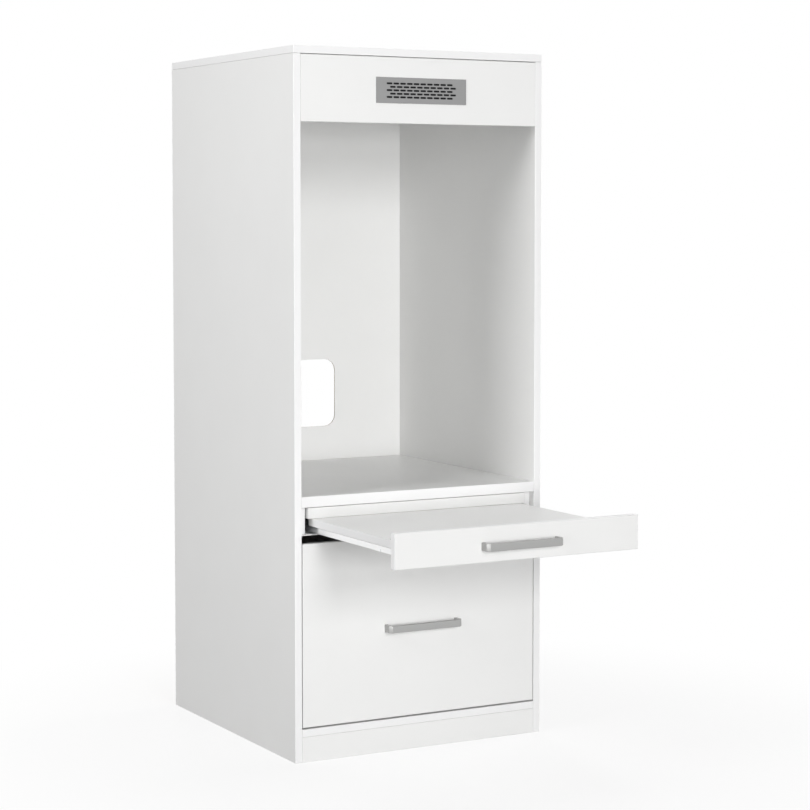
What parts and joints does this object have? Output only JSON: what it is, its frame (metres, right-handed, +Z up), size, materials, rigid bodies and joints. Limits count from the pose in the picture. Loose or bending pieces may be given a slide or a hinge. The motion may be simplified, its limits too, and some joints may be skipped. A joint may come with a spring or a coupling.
{
  "type": "washing machine cabinet",
  "caption": "Tall white cabinet that raises a washing machine in an open niche, over a pull-out tray and a deep drawer, with a slotted vent grille under its top.",
  "frame": {"origin": "on the floor, at the centre of the plinth panel's underside, midway between the side panels", "axes": "+Z up, +Y from the front into the cabinet, X across it"},
  "size_m": [0.675, 1.193, 1.675],
  "materials": {
    "white_board": "white melamine-faced chipboard, satin",
    "white_hardboard": "white lacquered hardboard, satin",
    "white_plastic": "extruded white plastic",
    "satin_nickel": "satin nickel",
    "grille_steel": "brushed stainless steel",
    "zinc_steel": "bright zinc plate",
    "coated_steel": "white powder coat, satin",
    "ball_steel": "polished"
  },
  "bodies": {
    "cabinet": {"side_panel_left": "white_board", "side_panel_right": "white_board", "top_panel": "white_board", "bottom_panel": "white_board", "plinth_panel": "white_board", "plinth_rail_rear": "white_board", "appliance_shelf": "white_board", "shelf_rail_rear": "white_board", "shelf_batten_left": "white_board", "shelf_batten_right": "white_board", "dust_panel": "white_hardboard", "apron_panel": "white_board", "vent_grille": "grille_steel", "top_rail_rear": "white_board", "back_panel_upper": "white_hardboard", "back_panel_lower": "white_hardboard", "back_joint_strip": "white_plastic", "wall_bracket_left": "zinc_steel", "wall_bracket_right": "zinc_steel", "tray_slide_cabinet_member_left": "zinc_steel", "tray_slide_cabinet_member_right": "zinc_steel", "drawer_slide_cabinet_member_left": "zinc_steel", "drawer_slide_cabinet_member_right": "zinc_steel"},
    "tray_outer_cages": {"tray_slide_outer_cage_left": "ball_steel", "tray_slide_outer_cage_right": "ball_steel"},
    "tray_slides_middle": {"tray_slide_middle_member_left": "zinc_steel", "tray_slide_middle_member_right": "zinc_steel"},
    "tray_inner_cages": {"tray_slide_inner_cage_left": "ball_steel", "tray_slide_inner_cage_right": "ball_steel"},
    "tray": {"tray_slide_moving_member_left": "coated_steel", "tray_slide_moving_member_right": "coated_steel", "tray_board": "white_board", "tray_front": "white_board", "tray_rear_rail": "white_board", "tray_front_bracket_left": "zinc_steel", "tray_front_bracket_right": "zinc_steel", "tray_handle": "satin_nickel", "tray_handle_screw_left": "zinc_steel", "tray_handle_screw_right": "zinc_steel"},
    "drawer_outer_cages": {"drawer_slide_outer_cage_left": "ball_steel", "drawer_slide_outer_cage_right": "ball_steel"},
    "drawer_slides_middle": {"drawer_slide_middle_member_left": "zinc_steel", "drawer_slide_middle_member_right": "zinc_steel"},
    "drawer_inner_cages": {"drawer_slide_inner_cage_left": "ball_steel", "drawer_slide_inner_cage_right": "ball_steel"},
    "drawer": {"drawer_slide_moving_member_left": "zinc_steel", "drawer_slide_moving_member_right": "zinc_steel", "drawer_front": "white_board", "drawer_inner_front": "white_board", "drawer_side_left": "white_board", "drawer_side_right": "white_board", "drawer_back": "white_board", "drawer_bottom": "white_hardboard", "drawer_handle": "satin_nickel", "drawer_handle_screw_left": "zinc_steel", "drawer_handle_screw_right": "zinc_steel"}
  },
  "joints": [
    {"name": "tray_slide", "type": "slide", "parent": "cabinet", "child": "tray", "axis": [0, 1, 0], "range_m": [0, 0.45]},
    {"name": "tray_middle_slide", "type": "slide", "parent": "cabinet", "child": "tray_slides_middle", "axis": [0, 1, 0], "range_m": [0, 0.225]},
    {"name": "tray_outer_cage_slide", "type": "slide", "parent": "cabinet", "child": "tray_outer_cages", "axis": [0, 1, 0], "range_m": [0, 0.1125]},
    {"name": "tray_inner_cage_slide", "type": "slide", "parent": "cabinet", "child": "tray_inner_cages", "axis": [0, 1, 0], "range_m": [0, 0.3375]},
    {"name": "drawer_slide", "type": "slide", "parent": "cabinet", "child": "drawer", "axis": [0, -1, 0], "range_m": [0, 0.55]},
    {"name": "drawer_middle_slide", "type": "slide", "parent": "cabinet", "child": "drawer_slides_middle", "axis": [0, -1, 0], "range_m": [0, 0.275]},
    {"name": "drawer_outer_cage_slide", "type": "slide", "parent": "cabinet", "child": "drawer_outer_cages", "axis": [0, -1, 0], "range_m": [0, 0.1375]},
    {"name": "drawer_inner_cage_slide", "type": "slide", "parent": "cabinet", "child": "drawer_inner_cages", "axis": [0, -1, 0], "range_m": [0, 0.4125]}
  ],
  "couplings": [
    {"joint": "tray_middle_slide", "follows": "tray_slide", "ratio": 0.5},
    {"joint": "tray_outer_cage_slide", "follows": "tray_slide", "ratio": 0.25},
    {"joint": "tray_inner_cage_slide", "follows": "tray_slide", "ratio": 0.75},
    {"joint": "drawer_middle_slide", "follows": "drawer_slide", "ratio": 0.5},
    {"joint": "drawer_outer_cage_slide", "follows": "drawer_slide", "ratio": 0.25},
    {"joint": "drawer_inner_cage_slide", "follows": "drawer_slide", "ratio": 0.75}
  ]
}
